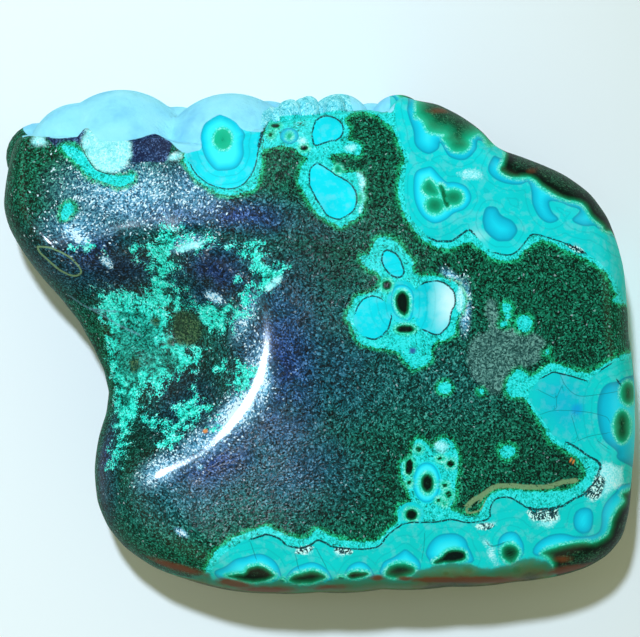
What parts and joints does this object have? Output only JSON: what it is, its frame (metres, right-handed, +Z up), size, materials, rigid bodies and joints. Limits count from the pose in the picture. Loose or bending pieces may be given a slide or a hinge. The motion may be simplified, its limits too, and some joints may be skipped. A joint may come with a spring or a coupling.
{
  "type": "chrysocolla specimen",
  "caption": "Polished chrysocolla and malachite stone with a flat base, a broad hollow in its face and natural rounded growths along one side.",
  "frame": {"origin": "middle of the stone's length and depth, on the plane of its flat base", "axes": "+X along the stone's long side, +Y towards its natural, unpolished far side, +Z up from the flat base through the polished face"},
  "size_m": [0.0973, 0.0776, 0.028],
  "materials": {
    "polished_stone": "polished"
  },
  "bodies": {
    "root": {"chrysocolla_specimen": "polished_stone"}
  },
  "joints": []
}
